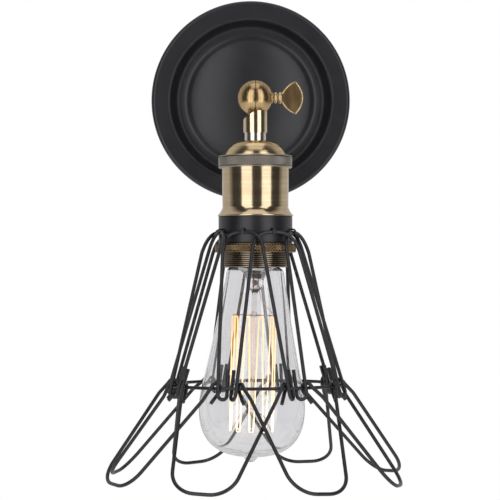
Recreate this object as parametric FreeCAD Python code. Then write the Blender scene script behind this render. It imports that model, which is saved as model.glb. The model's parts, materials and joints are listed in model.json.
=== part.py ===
import FreeCAD, Part
import math
import os
from FreeCAD import Vector

# Wall light with a swivelling lamp head and a bent-wire cage. Millimetres, +Z up.
# The wall face is the plane y = 0 and the room is towards -y. The origin is the centre of the canopy on the wall.
# Pieces of the lamp head are drawn hanging straight down from the ball's centre, then tilted together.

# ---- placing ----
ball_reach = 85.0            # wall to the ball's centre
rest_tilt = 4.0              # the head's lean towards the room at rest, degrees
running_gap = 0.05           # radial gap of a shaft in its hole
joint_gap = 0.1              # face to face gap between the two half balls

# ---- canopy and mounting hardware ----
canopy_r = 64.0
canopy_depth = 18.0
sheet = 1.2
brim_width = 13.0
channel_drop = 7.0
channel_outer_r = 47.0
channel_inner_r = 42.0
dome_edge_r = 39.4
dome_edge_lift = 2.0         # step from the channel up to the dome's edge
dome_rise = 7.0
canopy_round = 1.5
crossbar_length = 104.0
crossbar_width = 16.0
crossbar_thick = 2.0
slot_spacing = 78.0          # slot centre to slot centre
slot_travel = 12.0           # straight part of a slot
slot_r = 2.4
nipple_r = 4.8
nipple_bore_r = 3.25
nut_flats = 15.0
nut_thick = 3.0
ground_screw_x = 21.0
ground_screw_r = 2.0
ground_head_r = 4.2

# ---- swivel ----
ball_r = 11.0
ball_flat_x = 9.6            # the moving half is cut flat here for the thumb screw
arm_r = 6.5
arm_foot_r = 8.2
arm_foot_length = 3.0
stem_r = 7.55
stem_end = 21.45             # measured along the lamp axis from the ball's centre
relief_start_r = 11.3
relief_end_r = 13.6
relief_depth = 7.6
screw_shaft_r = 2.5
screw_reach = 7.0            # depth of the shaft in the fixed half
neck_r = 3.7
neck_length = 7.2
wing_length = 12.5
wing_height = 20.5
wing_thick = 1.4
coupler_r = 6.75
coupler_end = 26.35

# ---- socket ----
cap_wall = 1.0
cap_top_r = 8.0
cap_hole_r = 4.0
cap_mid_r = 16.2
cap_mid_a = 30.0
cap_low_r = 19.0
cap_end = 35.45
upper_ring_r = 22.45
upper_ring_end = 42.8
ring_chamfer = 0.5
shell_top_r = 20.5
shell_low_r = 20.0
shell_waist = 67.0
shell_wall = 0.9
flare_r = 23.0
shell_end = 72.3
collar_r = 22.45
collar_end = 88.9
lower_ring_r = 24.75
lower_ring_end = 94.1
sleeve_r = 19.9
sleeve_wall = 1.4
sleeve_end = 103.2
screw_shell_r = 14.3
screw_shell_wall = 0.5
insulator_r = 18.9
insulator_top = upper_ring_end
insulator_low = 64.0

# ---- cage ----
wire_r = 1.1
wire_sides = 6
ring_wire_r = 1.0
ring_r = 51.5
ring_a = 174.3
loop_count = 8
first_loop_azimuth = -20.5   # degrees from the room side, towards +x
arch_a = 82.3                # lamp-axis place of the top of each loop
arch_bend_r = 12.6
arch_corner_x = 11.9
knee_bend_r = 14.0
leg_knee = (14.7, 27.0, 94.2)
leg_foot_x = 33.8            # half the distance between a loop's legs at the ring
hook_drop = 3.15             # ring centre to the centre of a loop's hook
loop_hook_r = 2.95
loop_tail = 12.2             # how far the tail climbs above the ring
loop_cross_shift = 2.3       # a loop's right leg stands out and its left leg in, where two loops cross
petal_cross_shift = 1.4      # a petal's left leg stands out and its right leg in
petal_half_angle = 36.4      # hinge hooks sit this far round the ring from the petal's middle
petal_flare = (38.5, 38.0, 37.5, 40.0, 41.5, 41.5, 40.5, 39.5)
petal_length = 75.5
petal_tip_half = 17.4
petal_tip_shift = -3.6       # every petal's tip leans this far to its left
petal_tip_bend_r = 15.8
leave_bend_r = 6.0
petal_hook_r = 2.9
petal_tail = 9.0
tab_wire_gap = 0.22          # collar to wire
tab_slack = 0.5              # round the wire inside its tab
arch_twist = 1.6             # how far the arch's two corners stand in and out
tab_half_width = 1.7
tab_thick = 1.3

# ---- bulb ----
bulb_top = 76.0
bulb_neck_r = 17.4
bulb_belly_r = 32.0
bulb_belly_a = 189.0
bulb_bottom = 217.4
pip_r = 4.5
pip_length = 3.6
bulb_lean = 1.6              # degrees
glass_wall = 0.8
bulb_base_r = 13.1
bulb_base_wall = 0.4
bulb_base_end = 101.0
filament_top = 133.0
filament_low = 203.0
filament_spread = 13.5
filament_r = 0.55
filament_strands = 10
support_r = 0.35

HEAD_AXIS = Vector(0, 0, -1)


def save(shape, name):
    shape.exportStep("parts/" + name + ".step")


def cylinder(radius, start, end):
    """A round bar along the lamp axis, from one distance below the ball's centre to another."""
    return Part.makeCylinder(radius, end - start, Vector(0, 0, -start), HEAD_AXIS)


def turned(outline):
    """A solid turned about the lamp axis from its half section.

    Each step is (radius, distance) for a line to that corner, or (mid radius, mid distance, radius, distance)
    for an arc that passes its middle on the way.
    """
    corners = [Vector(step[-2], 0, -step[-1]) for step in outline]
    edges = []
    for index, step in enumerate(outline):
        start = corners[index - 1]
        if len(step) == 4:
            edges.append(Part.Arc(start, Vector(step[0], 0, -step[1]), corners[index]).toShape())
        else:
            edges.append(Part.LineSegment(start, corners[index]).toShape())
    return Part.Face(Part.Wire(edges)).revolve(Vector(0, 0, 0), Vector(0, 0, 1), 360)


def in_head(shape):
    """Moves a piece drawn about the ball's centre into its place at rest."""
    placed = shape.copy()
    placed.rotate(Vector(0, 0, 0), Vector(1, 0, 0), -rest_tilt)
    placed.translate(Vector(0, -ball_reach, 0))
    return placed


def bent_path(points, radii):
    """Straight runs joined by tangent arcs: each inner corner has its own radius."""
    edges = []
    here = points[0]
    for index in range(1, len(points) - 1):
        before = (points[index] - points[index - 1]).normalize()
        after = (points[index + 1] - points[index]).normalize()
        turn = before.getAngle(after)
        reach = radii[index - 1] * math.tan(turn / 2)
        start = points[index] - before * reach
        end = points[index] + after * reach
        inward = (after - before).normalize()
        centre = points[index] + inward * (radii[index - 1] / math.cos(turn / 2))
        middle = centre - inward * radii[index - 1]
        if (start - here).Length > 0.01:
            edges.append(Part.LineSegment(here, start).toShape())
        else:
            start = here
        edges.append(Part.Arc(start, middle, end).toShape())
        here = end
    edges.append(Part.LineSegment(here, points[-1]).toShape())
    return Part.Wire(edges)


def bent_wire(points, radii, radius, sides=wire_sides):
    """A bent wire of many-sided section that fits inside the round wire it stands for."""
    path = bent_path(points, radii)
    along = (points[1] - points[0]).normalize()
    across = along.cross(Vector(0.123, 0.456, 0.789)).normalize()
    other = along.cross(across)
    corner_r = radius
    corners = []
    for side in range(sides):
        angle = 2 * math.pi * side / sides
        corners.append(points[0] + across * (corner_r * math.cos(angle)) + other * (corner_r * math.sin(angle)))
    section = Part.makePolygon(corners + corners[:1])
    pipe = Part.BRepOffsetAPI.MakePipeShell(path)
    pipe.add(section)
    pipe.build()
    pipe.makeSolid()
    return pipe.shape()


def turned_about(shape, azimuth):
    """Turns a piece drawn for azimuth 0, at the room side, round the lamp axis."""
    placed = shape.copy()
    placed.rotate(Vector(0, 0, 0), Vector(0, 0, 1), azimuth)
    return placed


# ---- canopy and mounting hardware, drawn about the wall axis ----

def towards_room(shape):
    """Turns a piece drawn along -z so that it points from the wall into the room."""
    placed = shape.copy()
    placed.rotate(Vector(0, 0, 0), Vector(1, 0, 0), -90)
    return placed


def canopy_side(inset):
    """Half section of the canopy's sheet from its rim to the arm's hole, moved inwards by inset."""
    front = canopy_depth - inset
    channel = front - channel_drop
    edge = channel + dome_edge_lift
    top = edge + dome_rise
    side = canopy_r - inset
    brim_inner = canopy_r - brim_width
    bow = 0.29 * canopy_round
    return [
        (side, 0), (side, front - canopy_round), (side - bow, front - bow, side - canopy_round, front),
        (brim_inner + canopy_round, front),
        (brim_inner + bow, front - bow, brim_inner, front - canopy_round),
        (channel_outer_r + 0.6, channel + 0.8), (channel_outer_r - 0.4, channel),
        (channel_inner_r, channel), (dome_edge_r + 1.2, channel + 0.6), (dome_edge_r, edge),
        (dome_edge_r * 0.55, edge + dome_rise * 0.72, nipple_r + running_gap, top),
    ]


def reverse_outline(outline):
    """The same run of lines and arcs walked from its end; its first step only names where it starts."""
    steps = [outline[-1][-2:]]
    for index in range(len(outline) - 1, 0, -1):
        corner = outline[index - 1][-2:]
        steps.append(outline[index][:2] + corner if len(outline[index]) == 4 else corner)
    return steps


def canopy():
    """Pressed sheet dish: skirt, flat brim, sunk channel and a low dome with the arm's hole."""
    return towards_room(turned(canopy_side(0) + reverse_outline(canopy_side(sheet))))


def dome_top_depth():
    return canopy_depth - channel_drop + dome_edge_lift + dome_rise


def crossbar():
    bar = Part.makeBox(crossbar_length, crossbar_width, crossbar_thick,
                       Vector(-crossbar_length / 2, -crossbar_width / 2, -crossbar_thick))
    bar = bar.cut(Part.makeCylinder(nipple_r + running_gap, crossbar_thick, Vector(0, 0, -crossbar_thick)))
    bar = bar.cut(Part.makeCylinder(ground_screw_r, crossbar_thick, Vector(ground_screw_x, 0, -crossbar_thick)))
    for side in (-1, 1):
        middle = side * slot_spacing / 2
        slot = Part.makeBox(slot_travel, 2 * slot_r, crossbar_thick,
                            Vector(middle - slot_travel / 2, -slot_r, -crossbar_thick))
        for end in (-1, 1):
            place = Vector(middle + end * slot_travel / 2, 0, -crossbar_thick)
            slot = slot.fuse(Part.makeCylinder(slot_r, crossbar_thick, place))
        bar = bar.cut(slot.removeSplitter())
    return towards_room(bar)


def nipple_end():
    """The hollow threaded tube runs from the wall into the arm's foot."""
    return dome_top_depth() + arm_foot_length + 8.0


def nipple():
    tube = cylinder(nipple_r, 0, nipple_end())
    return towards_room(tube.cut(cylinder(nipple_bore_r, 0, nipple_end())))


def hex_nut(start):
    corner_r = nut_flats / math.sqrt(3)
    corners = []
    for side in range(7):
        angle = math.radians(60 * side)
        corners.append(Vector(corner_r * math.cos(angle), corner_r * math.sin(angle), -start))
    nut = Part.Face(Part.makePolygon(corners)).extrude(Vector(0, 0, -nut_thick))
    hole = cylinder(nipple_r + running_gap, start, start + nut_thick)
    return towards_room(nut.cut(hole))


def ground_screw():
    shaft = Part.makeCylinder(ground_screw_r - running_gap, crossbar_thick, Vector(ground_screw_x, 0, -crossbar_thick))
    head = Part.makeCylinder(ground_head_r, 2.2, Vector(ground_screw_x, 0, -crossbar_thick - 2.2))
    slot = Part.makeBox(3 * ground_head_r, 0.9, 0.9,
                        Vector(ground_screw_x - 1.5 * ground_head_r, -0.45, -crossbar_thick - 2.2))
    return towards_room(shaft.fuse(head).cut(slot).removeSplitter())


# ---- swivel, drawn about the ball's centre ----

def half_ball(side):
    """One half of the ball: side -1 is the fixed half, +1 the moving half with its flat end."""
    ball = Part.makeSphere(ball_r)
    keep = Part.makeBox(2 * ball_r, 4 * ball_r, 4 * ball_r, Vector(0, -2 * ball_r, -2 * ball_r))
    keep.translate(Vector(joint_gap / 2 if side > 0 else -2 * ball_r - joint_gap / 2, 0, 0))
    half = ball.common(keep)
    if side > 0:
        half = half.common(Part.makeBox(ball_flat_x, 4 * ball_r, 4 * ball_r, Vector(0, -2 * ball_r, -2 * ball_r)))
    return half


def relief(side):
    """The cone cut from a stem where it passes the other half, coaxial with the thumb screw."""
    depth = relief_depth + 4.0
    end_r = relief_start_r + (relief_end_r - relief_start_r) * depth / relief_depth
    return Part.makeCone(relief_start_r, end_r, depth, Vector(0, 0, 0), Vector(side, 0, 0))


def swivel_arm():
    """Fixed half ball on its straight arm; the arm's foot is tapped for the nipple."""
    wall_to_foot = -ball_reach + dome_top_depth()
    length = -wall_to_foot
    arm = Part.makeCylinder(arm_r, length, Vector(0, 0, 0), Vector(0, 1, 0))
    foot = Part.makeCylinder(arm_foot_r, arm_foot_length, Vector(0, length - arm_foot_length, 0), Vector(0, 1, 0))
    arm = arm.cut(Part.makeSphere(ball_r - 0.5)).cut(relief(1)).fuse(foot)
    body = half_ball(-1).fuse(arm)
    body = body.cut(moving_clearance())
    bore_depth = nipple_end() - dome_top_depth()
    bore = Part.makeCylinder(nipple_r + running_gap, bore_depth, Vector(0, length - bore_depth, 0), Vector(0, 1, 0))
    shaft_hole = Part.makeCylinder(screw_shaft_r + running_gap, screw_reach + 0.3, Vector(-screw_reach - 0.3, 0, 0),
                                   Vector(1, 0, 0))
    body = body.cut(bore).cut(shaft_hole).removeSplitter()
    body.translate(Vector(0, -ball_reach, 0))
    return body


def moving_clearance():
    """The room side of the seam: the moving half's ball with a running gap all round."""
    ball = Part.makeSphere(ball_r + 0.3)
    keep = Part.makeBox(2 * ball_r, 4 * ball_r, 4 * ball_r, Vector(-joint_gap / 2, -2 * ball_r, -2 * ball_r))
    return ball.common(keep)


def swivel_stem():
    """Moving half ball with the stem that carries the socket."""
    stem = cylinder(stem_r, 0, stem_end).cut(Part.makeSphere(ball_r - 0.5)).cut(relief(-1))
    clear = Part.makeSphere(ball_r + 0.3)
    keep = Part.makeBox(2 * ball_r, 4 * ball_r, 4 * ball_r, Vector(joint_gap / 2 - 2 * ball_r, -2 * ball_r, -2 * ball_r))
    body = half_ball(1).fuse(stem).cut(clear.common(keep))
    hole = Part.makeCylinder(screw_shaft_r + running_gap, 2 * ball_r, Vector(0, 0, 0), Vector(1, 0, 0))
    return in_head(body.cut(hole).removeSplitter())


def thumb_screw():
    """Turned two-bead neck with a flat fan wing; its shaft draws the two halves together."""
    shaft = Part.makeCylinder(screw_shaft_r, ball_flat_x + screw_reach, Vector(-screw_reach, 0, 0), Vector(1, 0, 0))
    start = ball_flat_x + 0.1
    bead = neck_length / 2
    profile = [
        (0, start), (neck_r - 0.8, start), (neck_r, start + bead * 0.3), (neck_r, start + bead * 0.7),
        (neck_r - 1.0, start + bead), (neck_r - 0.2, start + bead * 1.3), (neck_r - 0.2, start + bead * 1.7),
        (neck_r - 1.4, start + neck_length), (0, start + neck_length),
    ]
    corners = [Vector(x, radius, 0) for radius, x in profile]
    neck = Part.Face(Part.makePolygon(corners + corners[:1])).revolve(Vector(0, 0, 0), Vector(1, 0, 0), 360)
    root_x = start + neck_length - 1.2
    tip_x = start + neck_length + wing_length
    half = wing_height / 2
    outline = [
        Part.LineSegment(Vector(root_x, 0, -2.0), Vector(root_x, 0, 2.0)),
        Part.Arc(Vector(root_x, 0, 2.0), Vector(root_x + 3.2, 0, half * 0.78), Vector(tip_x - 4.0, 0, half)),
        Part.Arc(Vector(tip_x - 4.0, 0, half), Vector(tip_x, 0, 0), Vector(tip_x - 4.0, 0, -half)),
        Part.Arc(Vector(tip_x - 4.0, 0, -half), Vector(root_x + 3.2, 0, -half * 0.78), Vector(root_x, 0, -2.0)),
    ]
    wing = Part.Face(Part.Wire([edge.toShape() for edge in outline])).extrude(Vector(0, wing_thick, 0))
    wing.translate(Vector(0, -wing_thick / 2, 0))
    body = shaft.fuse(neck).fuse(wing).removeSplitter()
    body.translate(Vector(0, -ball_reach, 0))
    return body


# ---- socket, drawn along the lamp axis ----

def coupler():
    return in_head(cylinder(coupler_r, stem_end, coupler_end))


def socket_cap():
    """Spun dome cap over the top of the socket."""
    start = coupler_end
    shoulder = cap_low_r - 0.7
    outer = [(cap_hole_r, start), (cap_top_r, start), (cap_mid_r - 2.6, start + 1.1, cap_mid_r, cap_mid_a),
             (shoulder - 0.3, cap_mid_a + 1.6, shoulder, cap_end - 2.2), (cap_low_r, cap_end)]
    inner = [(cap_low_r - cap_wall, cap_end), (shoulder - cap_wall, cap_end - 2.0),
             (shoulder - 0.4 - cap_wall, cap_mid_a + 2.0, cap_mid_r - cap_wall, cap_mid_a + 0.8),
             (cap_mid_r - 3.0, start + 2.2, cap_top_r, start + cap_wall), (cap_hole_r, start + cap_wall)]
    return in_head(turned(outer + inner))


def grip_ring(radius, start, end, bore_r):
    """Clamp ring with broken edges; its fine knurl is left plain."""
    edge = ring_chamfer
    return in_head(turned([(bore_r, start), (radius - edge, start), (radius, start + edge), (radius, end - edge),
                           (radius - edge, end), (bore_r, end)]))


def upper_knurled_ring():
    return grip_ring(upper_ring_r, cap_end, upper_ring_end, cap_low_r - 1.5)


def socket_shell():
    """Slightly tapered shell that flares out over the black collar."""
    def side(inset):
        low = shell_low_r - inset
        return [(shell_top_r - inset, upper_ring_end), (low, shell_waist),
                (low + 0.8, shell_waist + 2.6, flare_r - inset, shell_end - 0.8), (flare_r - inset, shell_end)]
    return in_head(turned(side(0) + reverse_outline(side(shell_wall))))


def socket_insulator():
    """Moulded block that fills the upper shell and carries the contacts."""
    body = cylinder(insulator_r, insulator_top, insulator_low)
    return in_head(body.cut(cylinder(4.5, insulator_low - 9.0, insulator_low)))


def screw_shell():
    """Rolled-thread shell that takes the bulb's base; rings stand for the thread."""
    pitch = 3.63
    turns = 7
    start = insulator_low
    outer = []
    inner = []
    for turn in range(turns):
        crest = start + (turn + 0.25) * pitch
        root = start + (turn + 0.75) * pitch
        outer += [(screw_shell_r, crest), (screw_shell_r - 0.45, root)]
        inner += [(screw_shell_r - screw_shell_wall, crest), (screw_shell_r - 0.45 - screw_shell_wall, root)]
    top = [(screw_shell_r - screw_shell_wall, start), (screw_shell_r, start)]
    return in_head(turned(top + outer + list(reversed(inner))))


def centre_contact():
    """Sprung tongue and rivet at the bottom of the insulator's well."""
    rivet = cylinder(2.0, insulator_low - 9.0, insulator_low - 7.6)
    tongue = Part.makeBox(7.0, 4.0, 0.5, Vector(-3.5, -2.0, -(insulator_low - 7.6) - 0.5))
    return in_head(rivet.fuse(tongue).removeSplitter())


def terminal_screws():
    """Two slotted binding screws on top of the insulator."""
    screws = []
    for side in (-1, 1):
        head = Part.makeCylinder(3.2, 2.0, Vector(side * 10.0, 0, -insulator_top))
        slot = Part.makeBox(8.0, 0.8, 0.9, Vector(side * 10.0 - 4.0, -0.4, -insulator_top + 1.1))
        screws.append(in_head(head.cut(slot)))
    return Part.makeCompound(screws)


def thread_sleeve():
    """Sleeve whose thread shows below the lower ring; plain rings stand for its ridges."""
    pitch = 1.2
    turns = int((sleeve_end - lower_ring_end) / pitch)
    inner_r = sleeve_r - sleeve_wall
    outer = [(sleeve_r - 0.4, shell_end + 0.2), (sleeve_r - 0.4, lower_ring_end)]
    for turn in range(turns):
        start = lower_ring_end + turn * pitch
        outer += [(sleeve_r, start + pitch * 0.4), (sleeve_r - 0.4, start + pitch * 0.9)]
    outer += [(sleeve_r - 0.4, sleeve_end)]
    return in_head(turned(outer + [(inner_r, sleeve_end), (inner_r, shell_end + 0.2)]))


def cage_collar():
    """Black collar with a lip at its top and eight curled tabs that hold the loops."""
    inner_r = sleeve_r + 0.1
    body = turned([(inner_r, shell_end), (collar_r, shell_end), (collar_r, collar_end), (inner_r, collar_end)])
    wire_mid = collar_r + tab_wire_gap + wire_r
    hole_r = wire_r + tab_slack
    curl_r = hole_r + tab_thick
    for index in range(loop_count):
        curl = Part.makeCylinder(curl_r, 2 * tab_half_width, Vector(-tab_half_width, -wire_mid, -arch_a), Vector(1, 0, 0))
        curl = curl.cut(Part.makeCylinder(hole_r, 4 * tab_half_width,
                                          Vector(-2 * tab_half_width, -wire_mid, -arch_a), Vector(1, 0, 0)))
        upper = Part.makeBox(2 * tab_half_width, 2 * curl_r, 2 * curl_r, Vector(-tab_half_width, -wire_mid - curl_r, -arch_a))
        root = Part.makeBox(2 * tab_half_width, wire_mid - collar_r + 0.8, curl_r - hole_r,
                            Vector(-tab_half_width, -wire_mid, -arch_a + hole_r))
        tab = curl.common(upper.fuse(Part.makeBox(2 * tab_half_width, curl_r, curl_r,
                                                  Vector(-tab_half_width, -wire_mid - curl_r, -arch_a - curl_r * 0.5))))
        tab = tab.fuse(root)
        body = body.fuse(turned_about(tab, first_loop_azimuth + 360.0 * index / loop_count))
    return in_head(body.cut(cylinder(inner_r, shell_end, collar_end)))


def lower_knurled_ring():
    return grip_ring(lower_ring_r, collar_end + joint_gap, lower_ring_end, sleeve_r + running_gap)


# ---- cage ----

def head_point(across, out, distance):
    """A point of a wire drawn for azimuth 0: across to +x, out to the room, distance along the lamp axis."""
    return Vector(across, -out, -distance)


def cage_ring():
    ring = Part.makeTorus(ring_r, ring_wire_r, Vector(0, 0, -ring_a), Vector(0, 0, 1))
    return in_head(ring)


def arch_out():
    """Distance of an arch's top from the lamp axis, seated in its tab."""
    return collar_r + tab_wire_gap + wire_r


def loop_points():
    """Corners of one loop from its left tail over the arch to its right tail."""
    ring_side = math.asin(leg_foot_x / ring_r)
    foot_out = ring_r * math.cos(ring_side) + loop_hook_r
    knee_x, knee_out, knee_a = leg_knee
    right = []
    for side in (-1, 1):
        shift = side * loop_cross_shift
        corner = head_point(side * arch_corner_x, arch_out() + side * arch_twist, arch_a)
        knee = head_point(side * knee_x, knee_out + shift, knee_a)
        foot = head_point(side * leg_foot_x, foot_out, ring_a)
        along = (foot - knee).normalize()
        turn_point = foot + along * (hook_drop + loop_hook_r)
        inward = Vector(0, 1, 0)
        inward = (inward - along * inward.dot(along)).normalize()
        inner_point = turn_point + inward * (2 * loop_hook_r)
        tail_end = inner_point - along * (hook_drop + loop_hook_r + loop_tail)
        right.append([corner, knee, turn_point, inner_point, tail_end])
    return list(reversed(right[0])) + right[1]


def upper_loop(index):
    radii = [loop_hook_r, loop_hook_r, knee_bend_r, arch_bend_r]
    wire = bent_wire(loop_points(), radii + list(reversed(radii)), wire_r)
    return in_head(turned_about(wire, first_loop_azimuth + 360.0 * index / loop_count))


def petal_points():
    """Corners of one petal in its hinge frame: x across, y out from the hinge plane, z down along the petal."""
    hinge_half = ring_r * math.sin(math.radians(petal_half_angle))
    knee_z = 10.0
    tip_z = petal_length
    sides = []
    for side in (-1, 1):
        shift = -side * petal_cross_shift
        tail_end = Vector(side * hinge_half, -petal_hook_r, petal_tail)
        inner_top = Vector(side * hinge_half, -petal_hook_r, -petal_hook_r)
        outer_top = Vector(side * hinge_half, petal_hook_r, -petal_hook_r)
        leave = Vector(side * hinge_half, petal_hook_r, 1.5)
        across = side * hinge_half + (side * petal_tip_half + petal_tip_shift - side * hinge_half) * knee_z / tip_z
        knee = Vector(across, petal_hook_r + shift, knee_z)
        corner = Vector(side * petal_tip_half + petal_tip_shift, petal_hook_r + shift, tip_z)
        sides.append([tail_end, inner_top, outer_top, leave, knee, corner])
    return sides[0] + list(reversed(sides[1]))


def petal(index):
    radii = [petal_hook_r, petal_hook_r, leave_bend_r, knee_bend_r, petal_tip_bend_r]
    wire = bent_wire(petal_points(), radii + list(reversed(radii)), wire_r)
    # the hinge frame's z points down the petal and its y points outwards
    wire.rotate(Vector(0, 0, 0), Vector(1, 0, 0), 180)
    wire.rotate(Vector(0, 0, 0), Vector(1, 0, 0), -petal_flare[index])
    hinge_out = ring_r * math.cos(math.radians(petal_half_angle))
    wire.translate(head_point(0, hinge_out, ring_a))
    return in_head(turned_about(wire, first_loop_azimuth + 360.0 * index / loop_count))


# ---- bulb ----

def in_bulb(shape):
    """Leans the glass and what it carries a little to the left of its screw base."""
    placed = shape.copy()
    placed.rotate(Vector(0, 0, -bulb_base_end), Vector(0, 1, 0), bulb_lean)
    return in_head(placed)


def bulb_side(inset):
    """Half section of the pear-shaped glass from its neck to its pip, moved inwards by inset."""
    neck_a = bulb_base_end + 4.0
    belly = bulb_belly_r - inset
    bottom = bulb_bottom - inset
    return [
        (bulb_neck_r - inset, neck_a),
        (bulb_belly_r * 0.845 - inset, bulb_belly_a - 31.0),
        (bulb_belly_r * 0.955 - inset, bulb_belly_a - 15.0, belly, bulb_belly_a),
        (bulb_belly_r * 0.89 - inset, bulb_belly_a + 14.0, bulb_belly_r * 0.6 - inset, bottom - 3.4),
        (bulb_belly_r * 0.33 - inset, bottom - 0.8, pip_r, bottom),
    ]


def bulb_glass():
    seat_r = bulb_base_r - bulb_base_wall - running_gap
    outer = bulb_side(0) + [(pip_r * 0.5, bulb_bottom + pip_length * 0.7), (0, bulb_bottom + pip_length)]
    inner = reverse_outline(bulb_side(glass_wall))
    mouth = [(seat_r - glass_wall, bulb_base_end + 1.2), (seat_r - glass_wall, bulb_base_end - 1.2),
             (seat_r, bulb_base_end - 1.2), (seat_r, bulb_base_end + 0.4)]
    return in_bulb(turned(outer + [(0, bulb_bottom - glass_wall)] + inner + mouth))


def bulb_base():
    """Screw base of the bulb; rings stand for its rolled thread."""
    pitch = 3.63
    outer = [(bulb_base_r - 2.5, bulb_top + 3.0), (bulb_base_r, bulb_top + 5.0)]
    for turn in range(4):
        start = bulb_top + 5.0 + turn * pitch
        outer += [(bulb_base_r - 0.5, start + 0.5 * pitch), (bulb_base_r, start + pitch)]
    outer += [(bulb_base_r, bulb_base_end)]
    inner = [(radius - bulb_base_wall, distance) for radius, distance in reversed(outer)]
    return in_head(turned(outer + inner))


def bulb_base_insulator():
    """Black glass cone that closes the base round its contact."""
    start = bulb_top + 0.8
    return in_head(turned([(0, start), (4.5, start), (bulb_base_r - 2.95, bulb_top + 3.05), (0, bulb_top + 3.05)]))


def bulb_contact():
    return in_head(turned([(0, bulb_top), (3.2, bulb_top), (4.0, bulb_top + 0.8), (0, bulb_top + 0.8)]))


def bulb_stem():
    """Pressed glass stem that carries the filament, seated in the neck."""
    top = bulb_base_end - 1.8
    seat_r = bulb_base_r - bulb_base_wall - glass_wall - 2 * running_gap
    return in_bulb(turned([(0, top), (seat_r, top), (seat_r - 1.5, top + 4.0), (4.5, top + 10.0),
                           (3.0, 120.0), (2.2, filament_top - 8.0), (1.6, filament_low - 12.0), (0, filament_low - 10.0)]))


def filament():
    """Long strands that run down and up between the two rings of supports."""
    strands = []
    for index in range(filament_strands):
        angle = 2 * math.pi * index / filament_strands
        lean = 2 * math.pi / filament_strands * (0.5 if index % 2 == 0 else -0.5)
        upper = Vector(filament_spread * 0.8 * math.cos(angle), filament_spread * 0.8 * math.sin(angle), -filament_top)
        lower = Vector(filament_spread * math.cos(angle + lean * 0.5), filament_spread * math.sin(angle + lean * 0.5),
                       -filament_low)
        run = lower - upper
        strands.append(in_bulb(Part.makeCylinder(filament_r, run.Length, upper, run)))
    return Part.makeCompound(strands)


def filament_supports():
    """Star of fine wires at the top, middle and bottom of the filament."""
    body = None
    for distance, reach, hub in ((filament_top - 0.6, filament_spread * 0.8, 3.0),
                                 (filament_low - 10.6, filament_spread, 2.6)):
        disc = cylinder(hub, distance - 0.6, distance + 0.6)
        for index in range(filament_strands):
            angle = 2 * math.pi * index / filament_strands
            direction = Vector(math.cos(angle), math.sin(angle), 0)
            disc = disc.fuse(Part.makeCylinder(support_r, reach, Vector(0, 0, -distance), direction))
        body = disc if body is None else body.fuse(disc)
    return in_bulb(body).cut(bulb_stem())


def main():
    os.makedirs("parts", exist_ok=True)
    save(canopy(), "canopy")
    save(crossbar(), "crossbar")
    save(nipple(), "nipple")
    save(hex_nut(crossbar_thick), "crossbar_nut")
    save(hex_nut(dome_top_depth() - sheet - nut_thick - 0.9), "canopy_nut")
    save(ground_screw(), "ground_screw")
    save(swivel_arm(), "swivel_arm")
    save(thumb_screw(), "thumb_screw")
    save(swivel_stem(), "swivel_stem")
    save(coupler(), "coupler")
    save(socket_cap(), "socket_cap")
    save(upper_knurled_ring(), "upper_knurled_ring")
    save(socket_shell(), "socket_shell")
    save(socket_insulator(), "socket_insulator")
    save(screw_shell(), "screw_shell")
    save(centre_contact(), "centre_contact")
    save(terminal_screws(), "terminal_screws")
    save(thread_sleeve(), "thread_sleeve")
    save(cage_collar(), "cage_collar")
    save(lower_knurled_ring(), "lower_knurled_ring")
    save(cage_ring(), "cage_ring")
    for index in range(loop_count):
        save(upper_loop(index), "upper_loop_" + str(index + 1))
        save(petal(index), "petal_" + str(index + 1))
    save(bulb_glass(), "bulb_glass")
    save(bulb_base(), "bulb_base")
    save(bulb_base_insulator(), "bulb_base_insulator")
    save(bulb_contact(), "bulb_contact")
    save(bulb_stem(), "bulb_stem")
    save(filament(), "filament")
    save(filament_supports(), "filament_supports")


main()
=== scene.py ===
import bpy
import bmesh
import json
import math
from mathutils import Matrix, Vector

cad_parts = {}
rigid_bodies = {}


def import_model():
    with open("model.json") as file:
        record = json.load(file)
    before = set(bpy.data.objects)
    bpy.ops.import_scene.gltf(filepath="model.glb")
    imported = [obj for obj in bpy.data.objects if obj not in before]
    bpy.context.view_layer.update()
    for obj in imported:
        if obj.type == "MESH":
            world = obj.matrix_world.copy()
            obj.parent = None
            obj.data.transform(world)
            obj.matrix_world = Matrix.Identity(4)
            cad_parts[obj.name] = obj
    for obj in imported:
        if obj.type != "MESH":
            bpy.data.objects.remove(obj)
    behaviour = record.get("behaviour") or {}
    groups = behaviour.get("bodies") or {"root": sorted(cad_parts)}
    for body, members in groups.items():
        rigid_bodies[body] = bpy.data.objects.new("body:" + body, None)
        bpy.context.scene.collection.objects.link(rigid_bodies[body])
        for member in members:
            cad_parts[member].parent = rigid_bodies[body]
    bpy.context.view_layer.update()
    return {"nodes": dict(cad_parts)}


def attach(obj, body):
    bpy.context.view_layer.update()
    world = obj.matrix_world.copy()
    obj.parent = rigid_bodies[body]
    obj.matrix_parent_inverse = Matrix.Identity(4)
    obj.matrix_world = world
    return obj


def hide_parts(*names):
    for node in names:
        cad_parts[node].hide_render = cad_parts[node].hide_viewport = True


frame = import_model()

# The wall face is y = 0, +Z is up and the room is towards -y. The scene is in metres, and the
# pieces' dictionaries are in millimetres and degrees where nothing else is said.
# Lamp head pieces are drawn hanging from the ball's centre, then leaned as the head is at rest.
mm = 0.001
head = {
    "reach": 85.0 * mm,
    "lean": math.radians(4.0),
    "loops": 8,
    "spacing": 45.0,
    "firstAzimuth": math.radians(-20.5),
}


def objectMode():
    if bpy.context.object and bpy.context.object.mode != "OBJECT":
        bpy.ops.object.mode_set(mode="OBJECT")


def deselectAll():
    objectMode()
    bpy.ops.object.select_all(action="DESELECT")


def makeActive(piece):
    deselectAll()
    piece.select_set(True)
    bpy.context.view_layer.objects.active = piece


def leanMatrix():
    return Matrix.Translation((0, -head["reach"], 0)) @ Matrix.Rotation(-head["lean"], 4, "X")


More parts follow.
